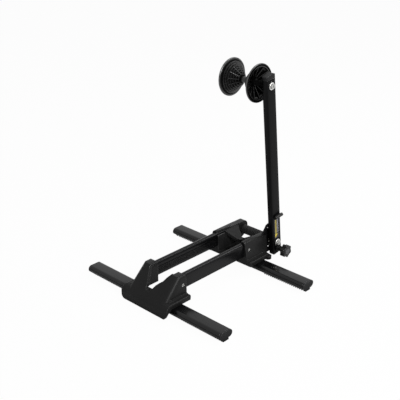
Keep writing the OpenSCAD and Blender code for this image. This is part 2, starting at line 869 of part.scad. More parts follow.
module roller_sleeve_body() {
    half = ear_inner_x - side_gap;
    difference() {
        bar_x(-half + bush_t / 2, half - bush_t / 2, roller_d / 2, pivot_y, pivot_z);
        bar_x(-half, half, roller_d / 2 - sleeve_t, pivot_y, pivot_z);
    }
}
module roller_core_body() {
    half = ear_inner_x - side_gap;
    difference() {
        bar_x(-half + bush_t / 2, half - bush_t / 2, roller_d / 2 - sleeve_t, pivot_y, pivot_z);
        bar_x(-half, half, bush_neck_d / 2, pivot_y, pivot_z);
    }
}
module roller_bushes_body() {
    half = ear_inner_x - side_gap;
    both_sides()
        difference() {
            union() {
                bar_x(half - bush_t / 2, half, bush_head_d / 2, pivot_y, pivot_z);
                bar_x(half - 2 * bush_t, half - bush_t / 2, bush_neck_d / 2, pivot_y, pivot_z);
            }
            bar_x(half - 3 * bush_t, half + over, pivot_d / 2 + run_fit, pivot_y, pivot_z);
        }
}
module hex_x(x0, x1, d, y, z) {
    translate([x0, y, z]) rotate([0, 90, 0]) cylinder(h = x1 - x0, d = d, $fn = 6);
}
module socket_head(x0) {
    difference() {
        bar_x(x0, x0 + head_t, head_d / 2, 0, 0);
        hex_x(x0 + head_t * socket_share, x0 + head_t + over, socket_d, 0, 0);
    }
}
module pivot_bolt_body() {
    translate([0, pivot_y, pivot_z]) {
        bar_x(pivot_left_x, arm_face_x + washer_t + over / 2, pivot_d / 2, 0, 0);
        socket_head(arm_face_x + washer_t);
    }
}
module washer_at(x0, t, d, bore, y, z) {
    difference() {
        bar_x(x0, x0 + t, d / 2, y, z);
        bar_x(x0 - over, x0 + t + over, bore / 2, y, z);
    }
}
module pivot_nut_body() {
    x0 = -ear_inner_x - left_ear_t + nut_sink - nut_t;
    difference() {
        hex_x(x0, x0 + nut_t, nut_d, pivot_y, pivot_z);
        bar_x(x0 - over, x0 + nut_t + over, pivot_d / 2, pivot_y, pivot_z);
    }
}
// Spacer between the right ear and the quadrant plate
pivot_spacer_d = 16;
module pivot_spacer_body() {
    x0 = ear_inner_x + ear_t;
    washer_at(x0, plate_x - x0, pivot_spacer_d, pivot_d + 2 * run_fit, pivot_y, pivot_z);
}
// Nylon washers between the quadrant plate and the arm, and under the bolt's washer
bearing_d = 20;
module arm_bearing_washer_body() {
    x0 = plate_x + plate_t;
    washer_at(x0, arm_offset - x0, bearing_d, pivot_d + 2 * run_fit, 0, 0);
}

// Arm

arm_corner = 3.5;
arm_top = arm_reach + arm_over;
arm_inner_r = 0.6;
cap_h = 8;
cap_crown = 4;
cap_front_drop = 1;
cap_rear_r = 2;
cap_front_r = 3;
crown_share = 0.25;
plug_in = 14;
plug_t = 3;
plug_rear_share = 0.25;
plug_front_r = 2;
plug_mid_r = 4;

// Section of the arm tube as [x, y], with its inner face at the arm offset
module arm_section(shrink = 0) {
    r = max(arm_corner - shrink, arm_inner_r);
    x0 = arm_offset + shrink;
    x1 = arm_offset + arm_w - shrink;
    y1 = arm_d / 2 - shrink;
    polygon(outline([[x0, -y1, r], [x1, -y1, r], [x1, y1, r], [x0, y1, r]]));
}
module arm_cross_holes(extra) {
    for (h = [[0, pivot_d], [arm_reach, axle_bolt_d]])
        bar_x(arm_offset - over, arm_face_x + over, h[1] / 2 + extra, 0, h[0]);
    bar_x(arm_offset - over, arm_face_x + over, stud_d / 2 + extra, 0, -lock_drop);
}
module arm_tube_body() {
    difference() {
        translate([0, 0, -arm_under]) linear_extrude(arm_top + arm_under)
            difference() {
                arm_section();
                arm_section(arm_wall);
            }
        arm_cross_holes(run_fit);
    }
}
module arm_top_cap_body() {
    difference() {
        union() {
            intersection() {
                translate([0, 0, arm_top]) linear_extrude(cap_h + cap_crown) arm_section();
                // Roof that rises to a ridge over the rear edge
                along_x(arm_offset, arm_face_x)
                    polygon(outline([
                        [-arm_d / 2, arm_top, 0],
                        [arm_d / 2, arm_top, 0],
                        [arm_d / 2, arm_top + cap_h, cap_rear_r],
                        [arm_d * crown_share, arm_top + cap_h + cap_crown, cap_front_r],
                        [-arm_d / 2, arm_top + cap_h - cap_front_drop, cap_front_r]]));
            }
            translate([0, 0, arm_top - plug_in]) linear_extrude(plug_in) arm_section(arm_wall + fit);
        }
        bar_x(arm_offset, arm_face_x, axle_bolt_d / 2 + hole_fit, 0, arm_reach);
    }
}
module arm_bottom_plug_body() {
    difference() {
        union() {
            intersection() {
                translate([0, 0, -arm_under - plug_t]) linear_extrude(plug_t) arm_section();
                along_x(arm_offset, arm_face_x)
                    polygon(outline([
                        [-arm_d / 2, -arm_under, 0],
                        [-arm_d / 2, -arm_under - plug_t, plug_front_r],
                        [0, -arm_under - plug_t, plug_mid_r],
                        [arm_d / 2, -arm_under - plug_t * plug_rear_share, 0],
                        [arm_d / 2, -arm_under, 0]]));
            }
            translate([0, 0, -arm_under]) linear_extrude(arm_under + plug_in) arm_section(arm_wall + fit);
        }
        arm_cross_holes(hole_fit);
    }
}
// Short round peg on the outer face of the arm
peg_d = 8.5;
peg_len = 26;
peg_rise = 75;
peg_shift = 4;
module arm_peg_body() {
    translate([arm_face_x + peg_d / 2, -peg_len / 2 + peg_shift, peg_rise])
        rotate([-90, 0, 0]) cylinder(h = peg_len, d = peg_d);
    translate([arm_face_x, -peg_d + peg_shift, peg_rise - peg_d / 2])
        cube([peg_d / 2, 2 * peg_d, peg_d]);
}
label_t = 0.3;
label_w = 16;
label_len = 55;
label_low = 13.5;
label_shift = 1;
module arm_label_body() {
    translate([arm_face_x, -label_w / 2 - label_shift, label_low]) cube([label_t, label_w, label_len]);
}

// Lock knob

insert_d = 15;
insert_t = 1.2;
knob_lobes = 6;
lobe_share = 0.143;
web_share = 0.8;
lobe_inset = 1;
insert_lift = 0.4;
neck_d = 14;
neck_foot_d = 12;
flange_t = 3;
flange_w = 2;
module lock_knob_body() {
    x0 = arm_face_x + washer_t + side_gap / 2;
    x1 = arm_face_x + knob_neck;
    lobe_r = knob_d * lobe_share;
    translate([0, 0, -lock_drop])
        difference() {
            union() {
                bar_x(arm_face_x + side_gap / 2, x0 + over, neck_foot_d / 2, 0, 0);
                bar_x(x0, x1 + over, neck_d / 2, 0, 0);
                bar_x(x0, x0 + flange_t, neck_d / 2 + flange_w, 0, 0);
                bar_x(x1, x1 + knob_h, knob_d / 2 - lobe_r * web_share, 0, 0);
                for (i = [0:knob_lobes - 1])
                    rotate([i * 360 / knob_lobes, 0, 0])
                        bar_x(x1 + lobe_inset, x1 + knob_h - lobe_inset, lobe_r, 0, knob_d / 2 - lobe_r);
            }
            bar_x(x1 + knob_h - insert_t, x1 + knob_h + over, insert_d / 2 + fit / 2, 0, 0);
            bar_x(arm_face_x, x1 + knob_h * stud_share, stud_d / 2, 0, 0);
        }
}
module lock_knob_insert_body() {
    x1 = arm_face_x + knob_neck + knob_h;
    bar_x(x1 - insert_t, x1 + insert_lift, insert_d / 2, 0, -lock_drop);
}
// Share of the knob's head that the stud reaches into
stud_share = 0.5;
lock_nut_t = 4.5;
lock_nut_d = 11;
stud_stickout = 0.5;
module lock_stud_body() {
    bar_x(plate_x - lock_nut_t - stud_stickout, arm_face_x + knob_neck + knob_h * stud_share, stud_d / 2, 0,
        -lock_drop);
}
module lock_nut_body() {
    x0 = plate_x - lock_nut_t - side_gap / 2;
    difference() {
        hex_x(x0, x0 + lock_nut_t, lock_nut_d, 0, -lock_drop);
        bar_x(x0 - over, x0 + lock_nut_t + over, stud_d / 2, 0, -lock_drop);
    }
}

// Discs

axle_d = 8;
spacer_d = 14;
axle_bolt_d = axle_d;
// Rim, its hollow and the ring that stands on the back of the band
rim_h = 4;
rim_in = 2;
rim_r = 1;
rim_back_r = 0.6;
rim_hollow = 2;
band_w = 7.6;
band_rise = 1.4;
ring_t = 1.5;
band_inset = 1;
// Webs on the back; fins on the tyre's side, from the waist up to a step
fin_steps = 5;
web_t = 1.6;
web_h = 7;
web_start = 2;
fin_t = 1.4;
fin_h = 3;
disc_r = disc_d / 2;
band_r = disc_r - band_w;
// Hub behind the cone
hub_t = 1;
hub_short = 12;
hub_root = 9;
hub_r = waist_r + hub_t;
hub_len = disc_depth - hub_short;
axle_bore_r = axle_d / 2 + run_fit;

// Radius of the cone at a share of the way from waist to band
cone_curve_share = 0.85;
function cone_r(share) = waist_r + (band_r - waist_r) * pow(share, cone_curve_share);
// Stepped outer line of the cone, from waist to band, as [radius, distance from waist]
cone_start = 7;
cone_end = disc_depth - rim_h - band_rise;
// Shares of one step at which its slope starts and ends
step_shares = [0.15, 0.5];
function step_share(i) = i / disc_steps;
function cone_z(i) = cone_start + (cone_end - cone_start) * step_share(i);
cone_line = [for (i = [0:disc_steps - 1]) each [
    [cone_r(step_share(i)), cone_z(i + step_shares[0])],
    [cone_r(step_share(i + 1)), cone_z(i + step_shares[1])]]];
cone_last = len(cone_line) - 1;
// Inner line of the cone's wall, from band to hub
cone_back = [for (i = [cone_last:-1:2]) cone_line[i] + [-disc_wall / 2, disc_wall]];

// Half section of a disc as [radius, distance from waist]
module disc_section() {
    back_z = disc_depth - rim_hollow;
    polygon(concat(
        [[axle_bore_r, 0], [waist_r, 0]],
        cone_line,
        // Flat band and rim
        [[band_r, cone_end], [disc_r - rim_r, cone_end + band_rise], [disc_r, cone_end + band_rise + rim_r],
            [disc_r, disc_depth - rim_r], [disc_r - rim_back_r, disc_depth], [disc_r - rim_in, disc_depth],
            [disc_r - rim_in, back_z], [band_r + ring_t, back_z],
            [band_r + ring_t, disc_depth], [band_r, disc_depth], [band_r - band_inset, cone_end + disc_wall]],
        [for (p = cone_back) if (p[0] > hub_r + hub_t && p[0] < band_r - 2 * band_inset) p],
        [[hub_r, cone_start + hub_root], [hub_r, hub_len], [axle_bore_r, hub_len]]));
}
// Turns its children into a ring of equal vanes, starting at a share of the pitch
module vanes(start_share, r0, r1, t) {
    for (i = [0:disc_webs - 1])
        rotate([0, 0, (i + start_share) * 360 / disc_webs])
            translate([r0, -t / 2, 0]) cube([r1 - r0, t, disc_depth]);
}
half_pitch_share = 0.5;
// Disc with its axis on Z and its waist at zero, hollow behind
module disc() {
    web_foot = cone_start + web_start + fin_h + band_inset;
    difference() {
        union() {
            rotate_extrude() disc_section();
            // Webs inside the cone
            intersection() {
                rotate_extrude()
                    polygon(concat(
                        [[hub_r - hub_t, web_foot]],
                        [for (i = [2:cone_last]) cone_line[i] + [-disc_wall, disc_wall] / 2],
                        [[band_r + band_inset, cone_end + band_inset],
                            [band_r + band_inset, disc_depth - band_inset],
                            [band_r - band_inset, disc_depth - band_inset],
                            [hub_r - hub_t, web_foot + 2 * web_h]]));
                vanes(0, axle_bore_r + hub_t, disc_r - 2 * rim_in, web_t);
            }
            // Fins that bridge the steps on the tyre's side
            intersection() {
                rotate_extrude()
                    polygon([
                        [waist_r, cone_line[1][1] + band_inset],
                        [cone_r(step_share(1)), cone_line[1][1]],
                        [band_r, cone_line[cone_last][1]],
                        [band_r, cone_end + band_inset],
                        [waist_r, cone_line[1][1] + fin_h + band_inset]]);
                vanes(half_pitch_share, waist_r, cone_r(step_share(fin_steps)), fin_t);
            }
        }
        translate([0, 0, -over]) cylinder(h = disc_depth + 2 * over, r = axle_bore_r);
    }
}
axle_nut_d = 13;
axle_nut_t = 6.5;
// Nylon collar of the lock nut, and the axle's end beyond it
collar_h = 1.5;
collar_overlap = 0.5;
collar_inset = 1;
end_washer_d = 16;
// Places along X of the hub faces
inner_hub_x = -waist_shift - hub_len - side_gap;
outer_hub_x = -waist_shift + hub_len + side_gap;
axle_end_x = inner_hub_x - washer_t - axle_nut_t - collar_h;

module disc_axle_body() {
    translate([0, 0, arm_reach]) {
        bar_x(axle_end_x, arm_face_x + washer_t + over / 2, axle_d / 2, 0, 0);
        socket_head(arm_face_x + washer_t);
    }
}
module disc_spacer_body() {
    washer_at(outer_hub_x, arm_offset - outer_hub_x, spacer_d, axle_d, 0, arm_reach);
}
module disc_end_washer_body() {
    washer_at(inner_hub_x - washer_t, washer_t, end_washer_d, axle_d, 0, arm_reach);
}
module disc_lock_nut_body() {
    x0 = inner_hub_x - washer_t - axle_nut_t;
    difference() {
        union() {
            hex_x(x0 + collar_h, x0 + axle_nut_t, axle_nut_d, 0, arm_reach);
            bar_x(x0, x0 + collar_h + collar_overlap, axle_nut_d / 2 - collar_inset, 0, arm_reach);
        }
        bar_x(x0 - over, x0 + axle_nut_t + over, axle_d / 2, 0, arm_reach);
    }
}

// Sub-parts

module front_foot_tube() { color("#3b3b3d") placed() foot_tube(0); }
module rear_foot_tube() { color("#3b3b3d") placed() foot_tube(foot_gap); }
module front_foot_end_caps() { color("#303030") placed() foot_end_caps(0); }
module rear_foot_end_caps() { color("#303030") placed() foot_end_caps(foot_gap); }
module front_foot_pads() { color("#1d1d1d") placed() foot_pads(0); }
module rear_foot_pads() { color("#1d1d1d") placed() foot_pads(foot_gap); }
module left_rail() { color("#2a2a2c") placed() translate([-rail_x, 0, rail_z]) rail(); }
module right_rail() { color("#2a2a2c") placed() translate([rail_x, 0, rail_z]) mirror([1, 0, 0]) rail(); }
module front_cradle() { color("#232323") placed() front_cradle_body(); }
module rear_bracket() { color("#232323") placed() rear_bracket_body(); }
module cradle_screws() { color("#c8c8c8") placed() flank_screws(cradle_screw_y, cradle_top_w); }
module bracket_screws() { color("#c8c8c8") placed() flank_screws(bracket_screw_y, bracket_top_w); }
module front_foot_bolts() { color("#8a8a8a") placed() foot_bolts(0); }
module rear_foot_bolts() { color("#8a8a8a") placed() foot_bolts(foot_gap); }
module roller_sleeve() { color("#161616") placed() roller_sleeve_body(); }
module roller_core() { color("#2c2c2c") placed() roller_core_body(); }
module roller_bushes() { color("#3a3a3a") placed() roller_bushes_body(); }
module pivot_bolt() { color("#cfcfcf") placed() pivot_bolt_body(); }
module pivot_washer() {
    color("#d8d8d8") placed() washer_at(arm_face_x, washer_t, washer_d, pivot_d + 2 * run_fit, pivot_y, pivot_z);
}
module pivot_nut() { color("#b8b8b8") placed() pivot_nut_body(); }
module pivot_spacer() { color("#b0b0b0") placed() pivot_spacer_body(); }
module arm_bearing_washer() { color("#dcdcd4") on_arm() arm_bearing_washer_body(); }
module quadrant_plate() { color("#202022") placed() quadrant_plate_body(); }
module arm_tube() { color("#1c1c1e") on_arm() arm_tube_body(); }
module arm_top_cap() { color("#2b2b2b") on_arm() arm_top_cap_body(); }
module arm_bottom_plug() { color("#2b2b2b") on_arm() arm_bottom_plug_body(); }
module arm_peg() { color("#1a1a1a") on_arm() arm_peg_body(); }
module arm_label() { color("#d2b93a") on_arm() arm_label_body(); }
module lock_knob() { color("#242424") on_arm() lock_knob_body(); }
module lock_knob_insert() { color("#9a9a9a") on_arm() lock_knob_insert_body(); }
module lock_stud() { color("#c0c0c0") on_arm() lock_stud_body(); }
module lock_nut() { color("#c0c0c0") on_arm() lock_nut_body(); }
module disc_axle() { color("#cfcfcf") on_arm() disc_axle_body(); }
module disc_axle_washer() {
    color("#d8d8d8") on_arm() washer_at(arm_face_x, washer_t, washer_d, axle_d, 0, arm_reach);
}
module disc_spacer() { color("#202020") on_arm() disc_spacer_body(); }
module inner_disc() {
    color("#1e1e1e") on_arm() translate([-waist_shift - side_gap / 2, 0, arm_reach]) rotate([0, -90, 0]) disc();
}
module outer_disc() {
    color("#1e1e1e") on_arm() translate([-waist_shift + side_gap / 2, 0, arm_reach]) rotate([0, 90, 0]) disc();
}
module disc_end_washer() { color("#d8d8d8") on_arm() disc_end_washer_body(); }
module disc_lock_nut() { color("#c0c0c0") on_arm() disc_lock_nut_body(); }

front_foot_tube();
rear_foot_tube();
front_foot_end_caps();
rear_foot_end_caps();
front_foot_pads();
rear_foot_pads();
left_rail();
right_rail();
front_cradle();
rear_bracket();
cradle_screws();
bracket_screws();
front_foot_bolts();
rear_foot_bolts();
roller_sleeve();
roller_core();
roller_bushes();
pivot_bolt();
pivot_washer();
pivot_nut();
pivot_spacer();
arm_bearing_washer();
quadrant_plate();
arm_tube();
arm_top_cap();
arm_bottom_plug();
arm_peg();
arm_label();
lock_knob();
lock_knob_insert();
lock_stud();
lock_nut();
disc_axle();
disc_axle_washer();
disc_spacer();
inner_disc();
outer_disc();
disc_end_washer();
disc_lock_nut();
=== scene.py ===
"""Floor bike rack, dressed: anodised feet and rails, moulded cradle and bracket, hinged arm with cone discs."""

import json
import math

import bpy
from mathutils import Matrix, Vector


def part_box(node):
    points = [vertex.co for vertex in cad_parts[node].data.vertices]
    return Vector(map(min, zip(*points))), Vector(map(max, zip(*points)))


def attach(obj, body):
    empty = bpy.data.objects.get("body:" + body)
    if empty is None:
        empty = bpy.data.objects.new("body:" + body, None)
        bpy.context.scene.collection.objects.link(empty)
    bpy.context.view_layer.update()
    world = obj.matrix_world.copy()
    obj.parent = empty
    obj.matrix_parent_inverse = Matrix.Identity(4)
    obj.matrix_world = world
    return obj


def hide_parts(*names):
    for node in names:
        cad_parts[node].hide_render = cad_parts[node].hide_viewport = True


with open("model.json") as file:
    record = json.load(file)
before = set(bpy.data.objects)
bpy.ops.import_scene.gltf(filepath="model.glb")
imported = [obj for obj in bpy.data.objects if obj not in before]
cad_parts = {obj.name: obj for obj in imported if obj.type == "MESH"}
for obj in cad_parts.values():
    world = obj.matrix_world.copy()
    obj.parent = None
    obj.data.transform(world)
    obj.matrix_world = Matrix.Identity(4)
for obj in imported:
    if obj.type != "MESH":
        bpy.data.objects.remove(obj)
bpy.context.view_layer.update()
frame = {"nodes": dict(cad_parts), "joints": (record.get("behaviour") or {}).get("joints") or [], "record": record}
joints = {j["name"]: j for j in frame["joints"]}

MM = 0.001
pivot = Vector(joints["arm_hinge"]["pos_m"])
disc_axis = Vector(joints["inner_disc_spin"]["pos_m"])
# Direction up the arm, across it towards the rear, and its lean from upright
arm_up = (disc_axis - pivot).normalized()
arm_lean = math.atan2(-arm_up.y, arm_up.z)
arm_rear = Vector((0, math.cos(arm_lean), math.sin(arm_lean)))


# Colours and nodes


def srgb(code):
    """Linear colour from an sRGB hex code."""
    values = [int(code[i:i + 2], 16) / 255 for i in (1, 3, 5)]
    return [v / 12.92 if v <= 0.04045 else ((v + 0.055) / 1.055) ** 2.4 for v in values] + [1.0]


def node(tree, kind, inputs=None, **settings):
    """Adds a node, sets its settings, and fills or links its inputs."""
    made = tree.nodes.new(kind)
    for name, value in settings.items():
        setattr(made, name, value)
    for name, value in (inputs or {}).items():
        socket = made.inputs[name]
        if isinstance(value, bpy.types.NodeSocket):
            tree.links.new(value, socket)
        else:
            socket.default_value = value
    return made


def new_material(name):
    """Empty node material, and its tree."""
    made = bpy.data.materials.new(name)
    made.use_nodes = True
    made.node_tree.nodes.clear()
    return made, made.node_tree


def surface_place(tree, turn=0.0, stretch=(1, 1, 1)):
    """Object coordinates, turned about X and scaled, so that a grain can run along a bar."""
    place = node(tree, "ShaderNodeTexCoord")
    turned = node(tree, "ShaderNodeMapping", {"Vector": place.outputs["Object"], "Rotation": (turn, 0, 0)})
    return node(tree, "ShaderNodeMapping", {"Vector": turned.outputs[0], "Scale": stretch}).outputs[0]


def edge_shine(tree, edge, low, high):
    """Shine that rises along the edges, where the rounded normal turns away from the face."""
    face = node(tree, "ShaderNodeNewGeometry")
    same = node(tree, "ShaderNodeVectorMath", {0: edge.outputs[0], 1: face.outputs["Normal"]},
                operation="DOT_PRODUCT")
    return node(tree, "ShaderNodeMapRange", {"Value": same.outputs["Value"], "From Min": 0.985, "From Max": 0.85,
                                             "To Min": low, "To Max": high}).outputs[0]


def ridge_shine(tree, low, high):
    """Shine that runs from the inner corners of close steps up to their outer corners."""
    ridge = node(tree, "ShaderNodeNewGeometry").outputs["Pointiness"]
    return node(tree, "ShaderNodeMapRange", {"Value": ridge, "From Min": 0.48, "From Max": 0.54,
                                             "To Min": low, "To Max": high}).outputs[0]


def recess_painted_shade(tree, shine, reach_mm):
    """Painted shade: shine cut down by ambient occlusion, so that recesses and corners look darker."""
    open_share = node(tree, "ShaderNodeAmbientOcclusion", {"Distance": reach_mm * MM}, samples=8)
    fade = node(tree, "ShaderNodeMath", {0: open_share.outputs["AO"], 1: 2.2}, operation="POWER")
    return node(tree, "ShaderNodeMath", {0: fade.outputs[0], 1: shine}, operation="MULTIPLY").outputs[0]


# Ways of making, one function each


def moulded_plastic(name, dark, light, rough, shine=0.2, edge_mm=1.2, edge_level=1.0, grain_depth_mm=0.05):
    """Plastic, injection moulded in a spark-eroded tool: a fine even grain breaks its shine into a dull grey
    bloom, and its edges, never sharp from the tool, catch a soft line of light. With no edge radius, the steps
    are too close for one, and their outer corners shine instead."""
    made, tree = new_material(name)
    place = surface_place(tree)
    # Grain of the tool, drawn coarser than its real 0.1 mm so that it shows, and clouds where the melt flowed
    grain = node(tree, "ShaderNodeTexNoise", {"Vector": place, "Scale": 1 / (0.9 * MM), "Detail": 3.0})
    flow = node(tree, "ShaderNodeTexNoise", {"Vector": place, "Scale": 1 / (38 * MM), "Detail": 2.0})
    bump = node(tree, "ShaderNodeBump", {"Height": grain.outputs[0], "Distance": grain_depth_mm * MM,
                                         "Strength": 0.6})
    if edge_mm:
        edge = node(tree, "ShaderNodeBevel", {"Radius": edge_mm * MM}, samples=16)
        tree.links.new(edge.outputs[0], bump.inputs["Normal"])
        level = edge_shine(tree, edge, shine, edge_level)
    else:
        level = ridge_shine(tree, shine, edge_level)
    tone = node(tree, "ShaderNodeMix", {0: flow.outputs[0], 6: srgb(dark), 7: srgb(light)}, data_type="RGBA")
    dullness = node(tree, "ShaderNodeMapRange", {"Value": grain.outputs[0], "To Min": rough - 0.04,
                                                 "To Max": rough + 0.04})
    # Shine darkened in recesses by ambient occlusion: painted shade
    shader = node(tree, "ShaderNodeBsdfPrincipled", {
        "Base Color": tone.outputs[2], "Roughness": dullness.outputs[0], "IOR": 1.5,
        "Specular IOR Level": recess_painted_shade(tree, level, 45), "Normal": bump.outputs[0]})
    node(tree, "ShaderNodeOutputMaterial", {"Surface": shader.outputs[0]})
    return made


def anodised_extrusion(name, dark, light, rough, stretch, shine=0.3, edge_mm=0.6, edge_level=0.8, turn=0.0):
    """Aluminium, extruded, etched and anodised black: faint die lines run along the bar, the film has a satin
    sheen, and colour stays even from end to end."""
    made, tree = new_material(name)
    # Die lines, and the slow change of the film's thickness
    lines = node(tree, "ShaderNodeTexNoise", {"Vector": surface_place(tree, turn, stretch), "Scale": 1.0,
                                              "Detail": 4.0})
    film = node(tree, "ShaderNodeTexNoise", {"Vector": surface_place(tree), "Scale": 1 / (55 * MM), "Detail": 2.0})
    edge = node(tree, "ShaderNodeBevel", {"Radius": edge_mm * MM}, samples=8)
    bump = node(tree, "ShaderNodeBump", {"Height": lines.outputs[0], "Distance": 0.004 * MM, "Strength": 0.4,
                                         "Normal": edge.outputs[0]})
    tone = node(tree, "ShaderNodeMix", {0: film.outputs[0], 6: srgb(dark), 7: srgb(light)}, data_type="RGBA")
    dullness = node(tree, "ShaderNodeMapRange", {"Value": lines.outputs[0], "To Min": rough - 0.02,
                                                 "To Max": rough + 0.02})
    level = edge_shine(tree, edge, shine, edge_level)
    # Shine darkened in recesses by ambient occlusion: painted shade
    shader = node(tree, "ShaderNodeBsdfPrincipled", {
        "Base Color": tone.outputs[2], "Roughness": dullness.outputs[0], "Metallic": 0.0, "IOR": 1.5,
        "Specular IOR Level": recess_painted_shade(tree, level, 30), "Normal": bump.outputs[0]})
    node(tree, "ShaderNodeOutputMaterial", {"Surface": shader.outputs[0]})
    return made


def plated_steel(name, dark, light, rough):
    """Steel, turned or pressed and zinc plated: bright and slightly milky, with fine tool marks that blur what
    it mirrors."""
    made, tree = new_material(name)
    # Tool marks, drawn coarser than their real 0.1 mm so that they show
    marks = node(tree, "ShaderNodeTexNoise", {"Vector": surface_place(tree), "Scale": 1 / (0.7 * MM),
                                              "Detail": 4.0})
    edge = node(tree, "ShaderNodeBevel", {"Radius": 0.3 * MM}, samples=8)
    bump = node(tree, "ShaderNodeBump", {"Height": marks.outputs[0], "Distance": 0.02 * MM, "Strength": 0.5,
                                         "Normal": edge.outputs[0]})
    tone = node(tree, "ShaderNodeMix", {0: marks.outputs[0], 6: srgb(dark), 7: srgb(light)}, data_type="RGBA")
    dullness = node(tree, "ShaderNodeMapRange", {"Value": marks.outputs[0], "To Min": rough - 0.05,
                                                 "To Max": rough + 0.1})
    shader = node(tree, "ShaderNodeBsdfPrincipled", {
        "Base Color": tone.outputs[2], "Roughness": dullness.outputs[0], "Metallic": 1.0,
        "Normal": bump.outputs[0]})
    node(tree, "ShaderNodeOutputMaterial", {"Surface": shader.outputs[0]})
    return made


def moulded_rubber(name, dark, light, rough, dust=0.1):
    """Synthetic rubber, pressed in a mould: almost no shine, with a dry, slightly dusty skin that is a little
    lighter on its high spots."""
    made, tree = new_material(name)
    # Unevenness of the skin, as the mould leaves it
    skin = node(tree, "ShaderNodeTexNoise", {"Vector": surface_place(tree), "Scale": 1 / (1.4 * MM),
                                             "Detail": 5.0})
    bump = node(tree, "ShaderNodeBump", {"Height": skin.outputs[0], "Distance": 0.06 * MM, "Strength": 0.7})
    tone = node(tree, "ShaderNodeMix", {0: skin.outputs[0], 6: srgb(dark), 7: srgb(light)}, data_type="RGBA")
    dullness = node(tree, "ShaderNodeMapRange", {"Value": skin.outputs[0], "To Min": rough - 0.08,
                                                 "To Max": rough + 0.08})
    shader = node(tree, "ShaderNodeBsdfPrincipled", {
        "Base Color": tone.outputs[2], "Roughness": dullness.outputs[0], "IOR": 1.52, "Specular IOR Level": 0.2,
        "Sheen Weight": dust, "Normal": bump.outputs[0]})
    node(tree, "ShaderNodeOutputMaterial", {"Surface": shader.outputs[0]})
    return made


def printed_film(name, ink, rough):
    """Vinyl film, screen printed and varnished: flat ink with a thin clear gloss and the faintest orange peel."""
    made, tree = new_material(name)
    peel = node(tree, "ShaderNodeTexNoise", {"Vector": surface_place(tree), "Scale": 1 / (1.1 * MM),
                                             "Detail": 1.0})
    bump = node(tree, "ShaderNodeBump", {"Height": peel.outputs[0], "Distance": 0.01 * MM, "Strength": 0.4})
    dullness = node(tree, "ShaderNodeMapRange", {"Value": peel.outputs[0], "To Min": rough - 0.05,
                                                 "To Max": rough + 0.05})
    shader = node(tree, "ShaderNodeBsdfPrincipled", {
        "Base Color": srgb(ink), "Roughness": dullness.outputs[0], "IOR": 1.5, "Normal": bump.outputs[0]})
    node(tree, "ShaderNodeOutputMaterial", {"Surface": shader.outputs[0]})
    return made


# Finishes of the rack

# Streaks per metre, few along a bar and many across it, drawn coarser than real die lines so that they show
ALONG, ACROSS = 3, 900

# Feet: smooth satin black, with one long soft sheen on the flat top
foot_metal = anodised_extrusion("foot_anodised_aluminium", "#0B0B0C", "#0F0F10", rough=0.2,
                                stretch=(ALONG, ACROSS, ACROSS), shine=0.26, edge_level=0.6)
# Rails: the same black under a duller film, with a thin line of light on each edge
rail_metal = anodised_extrusion("rail_anodised_aluminium", "#0C0C0D", "#101011", rough=0.25,
                                stretch=(ACROSS, ALONG, ACROSS), shine=0.13, edge_mm=0.35, edge_level=0.3)
# Arm: hardly any sheen on its faces, so that its rounded corners draw the light
arm_metal = anodised_extrusion("arm_anodised_aluminium", "#09090A", "#0D0D0E", rough=0.26,
                               stretch=(ACROSS, ACROSS, ALONG), shine=0.07, edge_mm=1.2, edge_level=0.6,
                               turn=-arm_lean)
# Plate of the lock, powder coated steel: streaks as fine every way read as an even matt skin
plate_paint = anodised_extrusion("plate_powder_coat", "#0E0E0F", "#131314", rough=0.5,
                                 stretch=(ACROSS, ACROSS, ACROSS), shine=0.1)
# Cradle and bracket: dull charcoal, with soft light along every edge
body_nylon = moulded_plastic("moulding_glass_filled_nylon", "#1E1E1E", "#232323", rough=0.3, shine=0.09,
                             edge_mm=1.3, edge_level=0.75, grain_depth_mm=0.01)
# End caps of the feet, cap and plug of the arm: a shade lighter and duller than the bars that they close
cap_nylon = moulded_plastic("end_cap_nylon", "#161617", "#1B1B1C", rough=0.42, shine=0.16, edge_mm=0.8,
                            edge_level=0.7, grain_depth_mm=0.01)
# Knob of the lock and peg of the arm: polished a little by the hand
knob_nylon = moulded_plastic("knob_nylon", "#161616", "#1B1B1B", rough=0.32, shine=0.24, edge_mm=0.8,
                             grain_depth_mm=0.01)
# Cover of the knob: plain mid grey, lighter than the knob round it
insert_abs = moulded_plastic("knob_cover_abs", "#48484A", "#545456", rough=0.35, edge_mm=0.4)
# Discs: deep black steps that shine on their outer corners alone
disc_nylon = moulded_plastic("disc_nylon", "#0A0A0A", "#0E0E0E", rough=0.32, shine=0.03, edge_mm=0,
                             edge_level=0.95, grain_depth_mm=0.003)
# Core and bushes of the roller, spacer of the discs: waxy black
roller_acetal = moulded_plastic("roller_acetal", "#161616", "#1C1C1C", rough=0.4, shine=0.1, edge_mm=0.5)
# Bearing washer of the arm: unpigmented, so a milky off-white
bearing_nylon = moulded_plastic("bearing_natural_nylon", "#CFCDC4", "#DAD8D0", rough=0.45, edge_mm=0.3)
# Pads: flat matt black
pad_rubber = moulded_rubber("pad_rubber", "#0A0A0A", "#101010", rough=0.75, dust=0.02)
# Sleeve of the roller: matt black with a faint grey dust
roller_rubber = moulded_rubber("roller_rubber", "#0C0C0C", "#141414", rough=0.6)
# Bolts, screws, nuts, stud and pivot spacer: silver grey, with dark and bright patches from what they mirror
zinc_steel = plated_steel("bolt_zinc_plated_steel", "#AEAEAC", "#C8C8C6", rough=0.22)
# Washers: pressed flat and almost white
washer_steel = plated_steel("washer_zinc_plated_steel", "#D6D6D4", "#E8E8E6", rough=0.3)
# Label: navy ground with ochre, bright yellow and pale grey inks
label_ground = printed_film("label_ground_film", "#0E0E1C", rough=0.3)
label_yellow = printed_film("label_yellow_ink", "#9C8C2C", rough=0.35)
label_bright = printed_film("label_bright_yellow_ink", "#E8D028", rough=0.35)
label_grey = printed_film("label_grey_ink", "#9A9AA6", rough=0.35)

